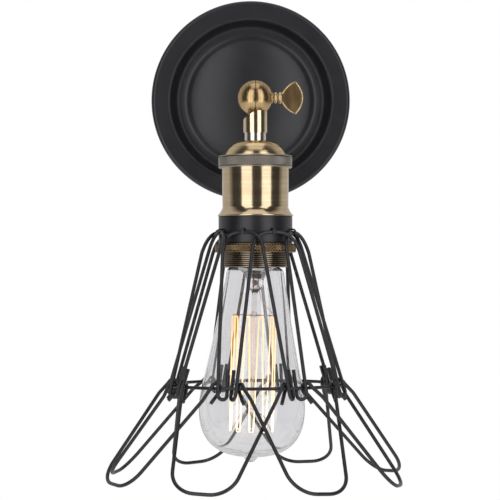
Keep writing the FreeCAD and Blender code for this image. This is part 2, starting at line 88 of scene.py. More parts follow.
# Where loop number index stands round the lamp.
def azimuthOf(index):
    return head["firstAzimuth"] + math.radians(head["spacing"] * index)


# Puts the piece's place into its mesh, smooths it and hangs it on its body.
def settle(piece, name, body, material, matrix, smooth):
    makeActive(piece)
    piece.name = name
    piece.data.transform(matrix)
    bpy.ops.object.shade_smooth_by_angle(angle=math.radians(smooth))
    piece.data.materials.clear()
    piece.data.materials.append(material)
    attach(piece, body)
    return piece


def applyModifier(piece, kind, **values):
    makeActive(piece)
    modifier = piece.modifiers.new(kind, kind)
    for key, value in values.items():
        setattr(modifier, key, value)
    bpy.ops.object.modifier_apply(modifier=modifier.name)


# Turns (radius, height) rings about Z: a circle is extruded and resized ring by ring.
def turn(rings, segments, closed=True):
    deselectAll()
    radius, height = rings[0]
    bpy.ops.mesh.primitive_circle_add(
        vertices=segments, radius=radius * mm, location=(0, 0, height * mm))
    piece = bpy.context.object
    bpy.ops.object.transform_apply(location=True, rotation=True, scale=True)
    bpy.ops.object.mode_set(mode="EDIT")
    bpy.ops.mesh.select_all(action="SELECT")
    for index in range(1, len(rings)):
        newRadius, newHeight = rings[index]
        lift = (newHeight - height) * mm
        bpy.ops.mesh.extrude_edges_move(TRANSFORM_OT_translate={"value": (0, 0, lift)})
        scale = newRadius / radius
        bpy.ops.transform.resize(value=(scale, scale, 1), center_override=(0, 0, newHeight * mm))
        radius, height = newRadius, newHeight
    if closed:
        bpy.ops.mesh.select_all(action="DESELECT")
        bpy.ops.mesh.select_non_manifold(
            extend=False, use_multi_face=False, use_non_contiguous=False, use_verts=False)
        bpy.ops.mesh.bridge_edge_loops()
    bpy.ops.mesh.select_all(action="SELECT")
    bpy.ops.mesh.normals_make_consistent(inside=False)
    bpy.ops.object.mode_set(mode="OBJECT")
    return piece


# One coordinate of the curve from b to c, a share t of the way, with a before and d after them.
def easedBetween(a, b, c, d, t):
    return 0.5 * (2 * b + (c - a) * t
                  + (2 * a - 5 * b + 4 * c - d) * t ** 2
                  + (3 * b - a - 3 * c + d) * t ** 3)


# A smooth outline through (radius, height) points, for the turned pieces.
def smoothRings(points, steps):
    ends = [points[0]] + list(points) + [points[-1]]
    rings = []
    for index in range(1, len(ends) - 2):
        radii, heights = zip(*ends[index - 1:index + 3])
        for step in range(steps):
            rings.append((easedBetween(*radii, step / steps), easedBetween(*heights, step / steps)))
    return rings + [points[-1]]


# Closes the small rings at both ends of a turned piece with a face each.
def closeEnds(piece):
    makeActive(piece)
    bpy.ops.object.mode_set(mode="EDIT")
    bpy.ops.mesh.select_all(action="SELECT")
    bpy.ops.mesh.fill_holes(sides=0)
    bpy.ops.mesh.normals_make_consistent(inside=False)
    bpy.ops.object.mode_set(mode="OBJECT")


# (radius, distance below the ball) as (radius, height).
def hanging(rings):
    return [(radius, -distance) for radius, distance in rings]


# Selects mesh points by a test on their place in millimetres, and stays in edit mode.
def selectPoints(piece, test):
    makeActive(piece)
    bpy.ops.object.mode_set(mode="EDIT")
    bpy.ops.mesh.select_all(action="DESELECT")
    mesh = bmesh.from_edit_mesh(piece.data)
    for vertex in mesh.verts:
        vertex.select = bool(test(vertex.co.x / mm, vertex.co.y / mm, vertex.co.z / mm))
    mesh.select_flush_mode()
    bmesh.update_edit_mesh(piece.data)


def joinPieces(parts):
    deselectAll()
    for part in parts:
        part.select_set(True)
    bpy.context.view_layer.objects.active = parts[0]
    bpy.ops.object.join()
    return bpy.context.object


# The knots of a bent wire, each with its place and its two handles: straight runs between the
# corners and a tangent arc at each. Two knots that fall on one place are made one.
def wireKnots(points, radii, samePlace=0.02):
    knots = [(points[0], None, None)]
    for index in range(1, len(points) - 1):
        before = (points[index] - points[index - 1]).normalized()
        after = (points[index + 1] - points[index]).normalized()
        bend = before.angle(after)
        reach = radii[index - 1] * math.tan(bend / 2)
        handle = radii[index - 1] * 4 / 3 * math.tan(bend / 4)
        start = points[index] - before * reach
        end = points[index] + after * reach
        knots.append((start, None, start + before * handle))
        knots.append((end, end - after * handle, None))
    knots.append((points[-1], None, None))
    merged = [knots[0]]
    for knot in knots[1:]:
        if (knot[0] - merged[-1][0]).length < samePlace:
            merged[-1] = (merged[-1][0], merged[-1][1], knot[2])
        else:
            merged.append(knot)
    return merged


# A round wire through corners in millimetres, with a bend radius for each corner between the ends.
def bentWire(points, radii, wireRadius, roundness=5, fineness=10):
    deselectAll()
    bpy.ops.curve.primitive_bezier_curve_add(location=(0, 0, 0))
    curve = bpy.context.object
    merged = wireKnots(points, radii)
    spline = curve.data.splines[0]
    spline.bezier_points.add(len(merged) - len(spline.bezier_points))
    for index, (place, left, right) in enumerate(merged):
        knot = spline.bezier_points[index]
        knot.handle_left_type = knot.handle_right_type = "FREE"
        earlier = merged[max(index - 1, 0)][0]
        later = merged[min(index + 1, len(merged) - 1)][0]
        knot.co = place * mm
        knot.handle_left = (left if left is not None else place + (earlier - place) / 3) * mm
        knot.handle_right = (right if right is not None else place + (later - place) / 3) * mm
    curve.data.dimensions = "3D"
    curve.data.resolution_u = fineness
    curve.data.bevel_depth = wireRadius * mm
    curve.data.bevel_resolution = roundness
    curve.data.use_fill_caps = True
    bpy.ops.object.convert(target="MESH")
    return bpy.context.object


# A lamp head point at azimuth 0: across to +x, out to the room, distance below the ball.
def headPoint(across, out, distance):
    return Vector((across, -out, -distance))


# A new material, its node tree, its shader and the piece's own coordinates.
def newMaterial(name):
    material = bpy.data.materials.new(name)
    material.use_nodes = True
    tree = material.node_tree
    shader = tree.nodes["Principled BSDF"]
    place = tree.nodes.new("ShaderNodeTexCoord")
    return material, tree, shader, place.outputs["Object"]


def addNoise(tree, place, scale, detail=4.0, stretch=(1, 1, 1)):
    mapping = tree.nodes.new("ShaderNodeMapping")
    mapping.inputs["Scale"].default_value = stretch
    tree.links.new(place, mapping.inputs["Vector"])
    noise = tree.nodes.new("ShaderNodeTexNoise")
    noise.inputs["Scale"].default_value = scale
    noise.inputs["Detail"].default_value = detail
    tree.links.new(mapping.outputs["Vector"], noise.inputs["Vector"])
    return noise.outputs["Fac"]


def addRamp(tree, value, stops):
    ramp = tree.nodes.new("ShaderNodeValToRGB")
    elements = ramp.color_ramp.elements
    while len(elements) < len(stops):
        elements.new(0.5)
    for element, (place, colour) in zip(elements, stops):
        element.position = place
        element.color = colour + (1.0,)
    tree.links.new(value, ramp.inputs["Fac"])
    return ramp.outputs["Color"]


def addBump(tree, shader, value, strength, distance):
    bump = tree.nodes.new("ShaderNodeBump")
    bump.inputs["Strength"].default_value = strength
    bump.inputs["Distance"].default_value = distance
    tree.links.new(value, bump.inputs["Height"])
    tree.links.new(bump.outputs["Normal"], shader.inputs["Normal"])


# Maps a value that runs from start to end onto low to high.
def addRange(tree, value, low=0.0, high=1.0, start=0.0, end=1.0):
    span = tree.nodes.new("ShaderNodeMapRange")
    span.inputs["From Min"].default_value = start
    span.inputs["From Max"].default_value = end
    span.inputs["To Min"].default_value = low
    span.inputs["To Max"].default_value = high
    tree.links.new(value, span.inputs["Value"])
    return span.outputs["Result"]


def addMath(tree, operation, *values):
    node = tree.nodes.new("ShaderNodeMath")
    node.operation = operation
    for index, value in enumerate(values):
        tree.links.new(value, node.inputs[index])
    return node.outputs[0]


# A mix node has its sockets once for each kind of data, under the same names, so they go by number.
mixSockets = {"FLOAT": {"values": (2, 3), "result": 0}, "RGBA": {"values": (6, 7), "result": 2}}


# Each of the three may be a socket to link or a fixed value.
def addMix(tree, kind, factor, first, second, blend="MIX"):
    mix = tree.nodes.new("ShaderNodeMix")
    mix.data_type = kind
    if kind == "RGBA":
        mix.blend_type = blend
    sockets = [mix.inputs["Factor"]] + [mix.inputs[index] for index in mixSockets[kind]["values"]]
    for socket, value in zip(sockets, (factor, first, second)):
        if isinstance(value, bpy.types.NodeSocket):
            tree.links.new(value, socket)
        else:
            socket.default_value = value
    return mix.outputs[mixSockets[kind]["result"]]


# Base colour from one value, from a dark colour to a light one.
def colourFrom(tree, shader, value, dark, light, darkAt=0.3, lightAt=0.7):
    colour = addRamp(tree, value, [(darkAt, dark), (lightAt, light)])
    tree.links.new(colour, shader.inputs["Base Color"])


# Roughness from one value, a little under and over the roughness given.
def roughnessFrom(tree, shader, value, roughness, under, over):
    span = addRange(tree, value, roughness - under, roughness + over)
    tree.links.new(span, shader.inputs["Roughness"])


# Satin black powder coat with a fine, soft orange peel.
def blackPaint(name, roughness, peel, peelDepth):
    look = {"dark": (0.0050, 0.0053, 0.0080), "light": (0.0080, 0.0084, 0.0118),
            "clouds": 60.0, "sheen": 130.0, "bump": 0.2 * mm, "ior": 1.5}
    material, tree, shader, place = newMaterial(name)
    clouds = addNoise(tree, place, look["clouds"])
    colourFrom(tree, shader, clouds, look["dark"], look["light"], lightAt=0.75)
    sheen = addNoise(tree, place, look["sheen"])
    roughnessFrom(tree, shader, sheen, roughness, under=0.05, over=0.06)
    addBump(tree, shader, addNoise(tree, place, peel, detail=2.0), peelDepth, look["bump"])
    shader.inputs["IOR"].default_value = look["ior"]
    return material


# Antique brass plating: brushed round the part, with browner patina in soft patches.
def agedBrass(name, dark, light, roughness, lines, scale, brushing=0.06):
    look = {"patches": 90.0, "brushShare": 0.55, "bump": 0.2 * mm}
    material, tree, shader, place = newMaterial(name)
    patina = addNoise(tree, place, look["patches"], detail=5.0)
    brush = addNoise(tree, place, scale, detail=6.0, stretch=lines)
    tone = addMix(tree, "FLOAT", look["brushShare"], patina, brush)
    colourFrom(tree, shader, tone, dark, light, lightAt=0.68)
    roughnessFrom(tree, shader, brush, roughness, under=0.05, over=0.08)
    addBump(tree, shader, brush, brushing, look["bump"])
    shader.inputs["Metallic"].default_value = 1.0
    return material


# Distance from the ball's centre, which tells the ball from the arm and the stem.
def awayFromBall(tree, place):
    away = tree.nodes.new("ShaderNodeVectorMath")
    away.operation = "DISTANCE"
    away.inputs[1].default_value = (0, -head["reach"], 0)
    tree.links.new(place, away.inputs[0])
    return away.outputs["Value"]


# Multiplies a shader's linked base colour by a tint.
def darken(tree, shader, tint):
    base = shader.inputs["Base Color"]
    tree.links.new(addMix(tree, "RGBA", 1.0, base.links[0].from_socket, tint, "MULTIPLY"), base)


# The tree, shader and coordinates of a material made before.
def reopen(material):
    tree = material.node_tree
    return tree, tree.nodes["Principled BSDF"], tree.nodes["Texture Coordinate"].outputs["Object"]


def splitPlace(tree, place):
    split = tree.nodes.new("ShaderNodeSeparateXYZ")
    tree.links.new(place, split.inputs["Vector"])
    return split.outputs


# The ball ends and the arm and the stem begin between these distances from its centre.
ball = {"ends": 11.15 * mm, "clear": 11.35 * mm}


# Brass brushed round the thumb screw's axis, with the dark seam between the ball's halves.
def ballBrass(name):
    look = {"dark": (0.28, 0.18, 0.085), "light": (0.60, 0.43, 0.225),
            "seam": 0.10 * mm, "seamEdge": 0.30 * mm, "seamColour": (0.08, 0.06, 0.05)}
    material = agedBrass(name, look["dark"], look["light"], roughness=0.21,
                         lines=(1, 0.03, 0.03), scale=1500.0, brushing=0.02)
    tree, shader, place = reopen(material)
    side = addMath(tree, "ABSOLUTE", splitPlace(tree, place)["X"])
    offSeam = addRange(tree, side, start=look["seam"], end=look["seamEdge"])
    offBall = addRange(tree, awayFromBall(tree, place), start=ball["ends"], end=ball["clear"])
    clear = addMath(tree, "MAXIMUM", offSeam, offBall)
    darken(tree, shader, addRamp(tree, clear, [(0.0, look["seamColour"]), (1.0, (1.0, 1.0, 1.0))]))
    return material


def plainMetal(name, dark, light, roughness):
    look = {"patches": 160.0, "sheen": 420.0}
    material, tree, shader, place = newMaterial(name)
    colourFrom(tree, shader, addNoise(tree, place, look["patches"]), dark, light)
    sheen = addNoise(tree, place, look["sheen"])
    roughnessFrom(tree, shader, sheen, roughness, under=0.06, over=0.08)
    shader.inputs["Metallic"].default_value = 1.0
    return material


def plainSolid(name, dark, light, roughness):
    look = {"patches": 120.0, "sheen": 300.0}
    material, tree, shader, place = newMaterial(name)
    colourFrom(tree, shader, addNoise(tree, place, look["patches"]), dark, light)
    sheen = addNoise(tree, place, look["sheen"])
    roughnessFrom(tree, shader, sheen, roughness, under=0.03, over=0.05)
    return material


def clearGlass(name, tint):
    material, _, shader, _ = newMaterial(name)
    look = {"Base Color": tint + (1.0,), "Transmission Weight": 1.0, "IOR": 1.47, "Roughness": 0.0}
    for socket, value in look.items():
        shader.inputs[socket].default_value = value
    return material


# Swivel: brushed brown brass on the ball, polished plating on the stem that leaves it.
def stemBrass(name):
    look = {"Base Color": ("RGBA", (0.72, 0.57, 0.40, 1.0)), "Roughness": ("FLOAT", 0.13)}
    material = ballBrass(name)
    tree, shader, place = reopen(material)
    onStem = addRange(tree, awayFromBall(tree, place), start=ball["ends"], end=ball["clear"])
    for socket, (kind, polished) in look.items():
        brushed = shader.inputs[socket].links[0].from_socket
        tree.links.new(addMix(tree, kind, onStem, brushed, polished), shader.inputs[socket])
    return material


# Knurled or ridged brass with painted shade in the grooves: dark between the raised points, its own
# colour where they stand out.
def knurledBrass(name, dark, light):
    material = agedBrass(name, dark, light, roughness=0.30, lines=even, scale=300.0)
    tree, shader, _ = reopen(material)
    raised = tree.nodes.new("ShaderNodeAttribute")
    raised.attribute_name = "raised"
    # Painted shade: the ramp darkens the grooves to a near black brown.
    grooveShade = [(0.20, (0.10, 0.09, 0.08)), (0.80, (1.0, 1.0, 1.0))]
    darken(tree, shader, addRamp(tree, raised.outputs["Fac"], grooveShade))
    return material


# How far each point of a mesh stands out of its grooves, from 0 to 1, which sets the painted groove
# shade of the brass above.
def markRaised(piece, values):
    grooveShade = piece.data.attributes.new("raised", "FLOAT", "POINT")
    grooveShade.data.foreach_set("value", values)


# Lit filament: amber at the cooler top, near white where it is hottest, uneven along its length.
def glowing(name):
    look = {"top": -126.0 * mm, "low": -200.0 * mm, "uneven": 0.35, "patches": 150.0,
            "heat": [(0.15, (0.95, 0.42, 0.13)), (0.5, (1.0, 0.66, 0.32)),
                     (0.85, (1.0, 0.90, 0.66))],
            "strength": 2.0, "wire": (0.5, 0.16, 0.05, 1.0)}
    material, tree, shader, place = newMaterial(name)
    down = addRange(tree, splitPlace(tree, place)["Z"], start=look["top"], end=look["low"])
    patches = addNoise(tree, place, look["patches"], detail=3.0)
    warmth = addMix(tree, "FLOAT", look["uneven"], down, patches)
    tree.links.new(addRamp(tree, warmth, look["heat"]), shader.inputs["Emission Color"])
    shader.inputs["Emission Strength"].default_value = look["strength"]
    shader.inputs["Base Color"].default_value = look["wire"]
    return material


# How a brass's brush marks are stretched: drawn out round the lamp's axis, or not at all.
around = (0.015, 0.015, 1)
even = (1, 1, 1)
paints = {
    "plate": blackPaint("black_plate", roughness=0.36, peel=900.0, peelDepth=0.05),
    "wire": blackPaint("black_wire", roughness=0.34, peel=350.0, peelDepth=0.008),
    "ball": ballBrass("brass_ball"),
    "stem": stemBrass("brass_swivel"),
    "rim": agedBrass("brass_rim", (0.40, 0.29, 0.16), (0.70, 0.55, 0.34),
                     roughness=0.24, lines=even, scale=260.0),
    "wing": agedBrass("brass_wing", (0.17, 0.105, 0.05), (0.36, 0.24, 0.12),
                      roughness=0.34, lines=(1, 1, 0.2), scale=300.0, brushing=0.03),
    "coupler": agedBrass("brass_coupler", (0.60, 0.53, 0.45), (0.78, 0.71, 0.62),
                         roughness=0.15, lines=around, scale=1500.0, brushing=0.02),
    "shell": agedBrass("brass_shell", (0.48, 0.36, 0.225), (0.66, 0.52, 0.35),
                       roughness=0.13, lines=around, scale=900.0, brushing=0.008),
    "cap": agedBrass("brass_cap", (0.42, 0.30, 0.155), (0.70, 0.54, 0.33),
                     roughness=0.19, lines=around, scale=1200.0, brushing=0.015),
    "knurl": knurledBrass("brass_knurl", (0.52, 0.47, 0.40), (0.88, 0.83, 0.75)),
    "lowKnurl": knurledBrass("brass_low_knurl", (0.42, 0.28, 0.15), (0.74, 0.54, 0.31)),
    "thread": knurledBrass("brass_thread", (0.30, 0.235, 0.17), (0.60, 0.48, 0.35)),
    "bright": plainMetal("bright_brass", (0.50, 0.36, 0.14), (0.70, 0.53, 0.25), 0.30),
    "zinc": plainMetal("zinc_plate", (0.45, 0.46, 0.48), (0.62, 0.63, 0.64), 0.34),
    "green": plainSolid("green_lacquer", (0.01, 0.12, 0.04), (0.02, 0.2, 0.07), 0.3),
    "porcelain": plainSolid("porcelain", (0.74, 0.72, 0.67), (0.84, 0.82, 0.78), 0.22),
    "blackGlass": plainSolid("black_glass", (0.01, 0.01, 0.012), (0.02, 0.02, 0.022), 0.12),
    "glass": clearGlass("bulb_glass", (0.825, 0.82, 0.83)),
    "stemGlass": clearGlass("stem_glass", (0.96, 0.95, 0.94)),
    "weld": plainSolid("amber_weld", (0.30, 0.12, 0.03), (0.50, 0.24, 0.08), 0.3),
    "support": plainMetal("support_wire", (0.20, 0.17, 0.14), (0.36, 0.31, 0.26), 0.3),
    "glow": glowing("glowing_filament"),
}

nodeFinish = {
    "canopy": "plate", "crossbar": "zinc", "nipple": "zinc",
    "crossbar_nut": "zinc", "canopy_nut": "zinc", "ground_screw": "green",
    "swivel_arm": "ball", "swivel_stem": "stem", "thumb_screw": "ball",
    "coupler": "coupler", "socket_cap": "cap", "socket_shell": "shell",
    "upper_knurled_ring": "knurl", "lower_knurled_ring": "lowKnurl", "thread_sleeve": "thread",
    "socket_insulator": "porcelain", "screw_shell": "bright", "centre_contact": "bright",
    "terminal_screws": "bright", "cage_collar": "plate", "cage_ring": "wire",
    "bulb_glass": "glass", "bulb_base": "bright", "bulb_base_insulator": "blackGlass",
    "bulb_contact": "zinc", "bulb_stem": "stemGlass", "filament": "glow",
    "filament_supports": "support",
}


# Gives every CAD node its own finish, and the wires, which aren't listed above, black paint.
def dressNodes():
    for name, node in frame["nodes"].items():
        finish = nodeFinish.get(name, "wire")
        node.data.materials.clear()
        node.data.materials.append(paints[finish])


cage = {
    "wire": 1.1, "ringWire": 1.0, "ringRadius": 51.5, "ringDistance": 174.3,
    "archDistance": 82.3, "archCorner": 11.9, "archBend": 12.6, "archTwist": 1.6,
    "archOut": 22.45 + 0.22 + 1.1,   # collar, gap and half the wire
    "knee": (14.7, 27.0, 94.2), "kneeBend": 14.0, "crossShift": 2.3,
    "footSide": 33.8, "hookDrop": 3.15, "hookRadius": 2.95, "tail": 12.2,
}


# Half of the loop on each side: arch, knee, then a hook round the ring with its tail back up.
def loopCorners():
    ringSide = math.asin(cage["footSide"] / cage["ringRadius"])
    footOut = cage["ringRadius"] * math.cos(ringSide) + cage["hookRadius"]
    halves = []
    for side in (-1, 1):
        archOut = cage["archOut"] + side * cage["archTwist"]
        corner = headPoint(side * cage["archCorner"], archOut, cage["archDistance"])
        across, out, distance = cage["knee"]
        knee = headPoint(side * across, out + side * cage["crossShift"], distance)
        foot = headPoint(side * cage["footSide"], footOut, cage["ringDistance"])
        along = (foot - knee).normalized()
        turnPoint = foot + along * (cage["hookDrop"] + cage["hookRadius"])
        inward = Vector((0, 1, 0))
        inward = (inward - along * inward.dot(along)).normalized()
        innerPoint = turnPoint + inward * (2 * cage["hookRadius"])
        tailEnd = innerPoint - along * (cage["hookDrop"] + cage["hookRadius"] + cage["tail"])
        halves.append([corner, knee, turnPoint, innerPoint, tailEnd])
    return list(reversed(halves[0])) + halves[1]


def buildLoops():
    radii = [cage["hookRadius"], cage["hookRadius"], cage["kneeBend"], cage["archBend"]]
    for index in range(head["loops"]):
        wire = bentWire(loopCorners(), radii + list(reversed(radii)), cage["wire"])
        matrix = leanMatrix() @ Matrix.Rotation(azimuthOf(index), 4, "Z")
        number = str(index + 1)
        piece = settle(wire, "loop_wire_" + number, "lamp_head",
                       paints["wire"], matrix, smooth=60.0)
        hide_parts("upper_loop_" + number)


petals = {
    "halfAngle": math.radians(36.4), "length": 75.5,
    "tipHalf": 17.4, "tipShift": -3.6, "tipBend": 15.8, "leaveBend": 6.0,
    "hookRadius": 2.9, "tail": 9.0, "crossShift": 1.4, "leaveAt": 1.5, "kneeAt": 10.0,
    "flare": (38.5, 38.0, 37.5, 40.0, 41.5, 41.5, 40.5, 39.5),
}


# A petal flat in the x-z plane, with its hinge line along x: tail, hook, knee and tip on each side.
def petalCorners():
    hingeHalf = cage["ringRadius"] * math.sin(petals["halfAngle"])
    hook = petals["hookRadius"]
    halves = []
    for side in (-1, 1):
        foot = side * hingeHalf
        tip = side * petals["tipHalf"] + petals["tipShift"]
        lift = hook - side * petals["crossShift"]
        share = petals["kneeAt"] / petals["length"]
        halves.append([
            Vector((foot, -hook, petals["tail"])),
            Vector((foot, -hook, -hook)),
            Vector((foot, hook, -hook)),
            Vector((foot, hook, petals["leaveAt"])),
            Vector((foot + (tip - foot) * share, lift, petals["kneeAt"])),
            Vector((tip, lift, petals["length"])),
        ])
    return halves[0] + list(reversed(halves[1]))


def buildPetals():
    radii = [petals["hookRadius"], petals["hookRadius"], petals["leaveBend"],
             cage["kneeBend"], petals["tipBend"]]
    hingeOut = cage["ringRadius"] * math.cos(petals["halfAngle"])
    for index in range(head["loops"]):
        wire = bentWire(petalCorners(), radii + list(reversed(radii)), cage["wire"])
        opened = Matrix.Rotation(-math.radians(petals["flare"][index]), 4, "X")
        hung = opened @ Matrix.Rotation(math.pi, 4, "X")
        place = Matrix.Translation(headPoint(0, hingeOut, cage["ringDistance"]) * mm)
        matrix = leanMatrix() @ Matrix.Rotation(azimuthOf(index), 4, "Z") @ place @ hung
        number = str(index + 1)
        piece = settle(wire, "petal_wire_" + number, "leaf_" + number,
                       paints["wire"], matrix, smooth=60.0)
        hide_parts("petal_" + number)


canopy = {
    "side": [(64.0, 0.0), (64.0, 6.0), (64.0, 14.5), (63.6, 16.8), (62.3, 17.9), (60.0, 18.0),
             (56.0, 18.0), (53.2, 17.9), (51.7, 17.2), (50.6, 15.6), (49.0, 13.2), (47.6, 11.6),
             (46.0, 11.0), (43.6, 11.0), (41.6, 11.3), (39.8, 12.3), (37.8, 13.5), (33.0, 15.4),
             (26.0, 17.3), (18.0, 18.8), (10.0, 19.7), (4.85, 20.0)],
    "wall": 1.2, "segments": 192,
}


# Pressed plate: brim, channel and dome in one sheet.
def buildCanopy():
    piece = turn(smoothRings(canopy["side"], steps=5), canopy["segments"], closed=False)
    applyModifier(piece, "SOLIDIFY", thickness=canopy["wall"] * mm, offset=-1)
    facingRoom = Matrix.Rotation(math.pi / 2, 4, "X")
    settle(piece, "pressed_plate", "wall_base",
           paints["plate"], facingRoom, smooth=60.0)
    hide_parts("canopy")


wing = {
    "start": 9.7, "rootX": 15.7, "root": 1.7, "cornerX": 24.6, "corner": 10.1, "tipX": 29.3,
    "rootPull": 0.3, "waist": (0.8, 2.2),   # handles at the root
    "inner": (4.2, 1.0), "outer": (2.2, 2.6), "tipPull": 4.0,   # at the corners and the tip
    "rootInset": 0.6, "cornerInset": 1.3,   # shares of the inset taken off there
    "thick": 0.42, "rim": 0.52, "plateInset": 0.2, "rimInset": 0.45,
    "neck": [(2.45, 0.0), (3.3, 0.0), (3.5, 0.25), (3.5, 0.75), (2.6, 1.1), (2.45, 1.4),
             (3.2, 1.8), (3.6, 2.6), (3.3, 3.4), (2.6, 3.8), (2.55, 4.1), (3.4, 4.6),
             (3.7, 5.4), (3.5, 6.2), (2.9, 6.8), (2.2, 7.2), (0.3, 7.25)],
}


# The wing's fan outline as a closed curve in the x-y plane, smaller than the full one by the inset.
def wingOutline(inset):
    deselectAll()
    bpy.ops.curve.primitive_bezier_circle_add(radius=1.0, location=(0, 0, 0))
    curve = bpy.context.object
    spline = curve.data.splines[0]
    spline.bezier_points.add(2)
    rootX, cornerX, tipX = wing["rootX"] + inset, wing["cornerX"], wing["tipX"] - inset
    root = wing["root"] - inset * wing["rootInset"]
    corner = wing["corner"] - inset * wing["cornerInset"]
    pull, waist, inner, outer = root * wing["rootPull"], wing["waist"], wing["inner"], wing["outer"]
    knots = [
        ((rootX, root), (rootX, pull), (rootX + waist[0], root + waist[1])),
        ((cornerX, corner), (cornerX - inner[0], corner - inner[1]),
         (cornerX + outer[0], corner - outer[1])),
        ((tipX, 0), (tipX, wing["tipPull"]), (tipX, -wing["tipPull"])),
        ((cornerX, -corner), (cornerX + outer[0], -corner + outer[1]),
         (cornerX - inner[0], -corner + inner[1])),
        ((rootX, -root), (rootX + waist[0], -root - waist[1]), (rootX, -pull)),
        ((rootX, 0), (rootX, -pull), (rootX, pull)),
    ]
    for knot, (place, left, right) in zip(spline.bezier_points, knots):
        knot.handle_left_type = knot.handle_right_type = "FREE"
        knot.co = (place[0] * mm, place[1] * mm, 0)
        knot.handle_left = (left[0] * mm, left[1] * mm, 0)
        knot.handle_right = (right[0] * mm, right[1] * mm, 0)
    return curve


# Beaded neck and a fan wing with a raised bright rim.
def buildThumbScrew():
    atBall = Matrix.Translation((0, -head["reach"], 0))
    stand = atBall @ Matrix.Rotation(math.pi / 2, 4, "X")
    plate = wingOutline(wing["plateInset"])
    plate.data.dimensions = "2D"
    plate.data.fill_mode = "BOTH"
    plate.data.extrude = wing["thick"] * mm
    bpy.ops.object.convert(target="MESH")
    plate = settle(bpy.context.object, "screw_wing", "tightening_screw",
                   paints["wing"], stand, smooth=30.0)
    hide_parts("thumb_screw")
    rim = wingOutline(wing["rimInset"])
    rim.data.dimensions = "3D"
    rim.data.bevel_depth = wing["rim"] * mm
    rim.data.bevel_resolution = 4
    bpy.ops.object.convert(target="MESH")
    settle(bpy.context.object, "wing_rim", "tightening_screw",
           paints["rim"], stand, smooth=60.0)
    profile = smoothRings(wing["neck"], steps=4)
    rings = [(radius, wing["start"] + along) for radius, along in profile]
    neck = turn(rings, segments=48, closed=False)
    closeEnds(neck)
    alongScrew = atBall @ Matrix.Rotation(math.pi / 2, 4, "Y")
    settle(neck, "bead_neck", "tightening_screw",
           paints["rim"], alongScrew, smooth=50.0)


cap = {
    "outer": [(4.0, 26.36), (8.0, 26.36), (9.6, 26.42), (12.0, 26.9), (14.2, 28.0), (16.2, 30.0),
              (17.6, 32.1), (18.5, 34.0), (18.95, 35.44)],
    "inner": [(17.9, 35.44), (17.4, 34.2), (16.5, 32.6), (15.2, 30.9), (13.4, 29.2), (11.2, 28.0),
              (9.0, 27.5), (4.0, 27.4)],
}


# Spun dome over the top of the socket.
def buildCap():
    rings = smoothRings(cap["outer"], steps=5) + smoothRings(cap["inner"], steps=4)
    piece = turn(hanging(rings), segments=128)
    settle(piece, "spun_cap", "lamp_head",
           paints["cap"], leanMatrix(), smooth=40.0)
    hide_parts("socket_cap")


shell = {
    "outer": [(20.45, 42.8), (20.3, 50.0), (20.1, 60.0), (20.02, 65.5), (20.0, 66.5), (20.08, 67.0),
              (20.45, 67.9), (21.1, 69.2), (21.9, 70.4), (22.7, 71.3), (23.0, 71.75),
              (22.9, 72.25)],
    "inner": [(22.0, 72.25), (20.9, 70.9), (19.8, 69.4), (19.15, 68.0), (19.0, 66.0), (19.3, 52.0),
              (19.45, 42.8)],
}


# Drawn shell with its flared foot.
def buildShell():
    rings = smoothRings(shell["outer"], steps=4) + smoothRings(shell["inner"], steps=2)
    piece = turn(hanging(rings), segments=128)
    settle(piece, "drawn_shell", "lamp_head",
           paints["shell"], leanMatrix(), smooth=40.0)
    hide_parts("socket_shell")


collar = {
    "rings": [(20.9, 72.35), (22.0, 72.35), (22.35, 72.6), (22.45, 73.0), (22.45, 88.3),
              (22.3, 88.7), (21.9, 88.88), (20.9, 88.88)],
    "strap": 0.55, "strapWide": 1.9, "strapBend": 1.5,
    "strapRoot": 22.0, "strapTop": 80.35, "strapOut": 25.35, "strapLow": 83.4,
}


# Black band with a small strap pressed over the top of each loop.
def buildCollar():
    parts = [turn(hanging(collar["rings"]), segments=128)]
    corners = [headPoint(0, collar["strapRoot"], collar["strapTop"]),
               headPoint(0, collar["strapOut"], collar["strapTop"]),
               headPoint(0, collar["strapOut"], collar["strapLow"])]
    widened = Matrix.Diagonal((collar["strapWide"], 1, 1, 1))
    for index in range(head["loops"]):
        strap = bentWire(corners, [collar["strapBend"]], collar["strap"], roundness=3, fineness=6)
        strap.data.transform(Matrix.Rotation(azimuthOf(index), 4, "Z") @ widened)
        parts.append(strap)
    piece = joinPieces(parts)
    settle(piece, "collar_band", "lamp_head",
           paints["wire"], leanMatrix(), smooth=40.0)
    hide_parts("cage_collar")


knurl = {
    "upper": {"node": "upper_knurled_ring", "paint": "knurl",
              "radius": 22.45, "start": 35.45, "end": 42.8, "bore": 17.5, "lip": 0.75},
    "lower": {"node": "lower_knurled_ring", "paint": "lowKnurl",
              "radius": 24.75, "start": 88.95, "end": 94.1, "bore": 19.95, "lip": 0.45},
    # The lip value puts half of the painted groove shade on the plain lips and the bore.
    "columns": 160, "row": 0.86, "depth": 0.38, "edge": 0.28, "shoulder": 0.1, "lipShade": 0.5,
}


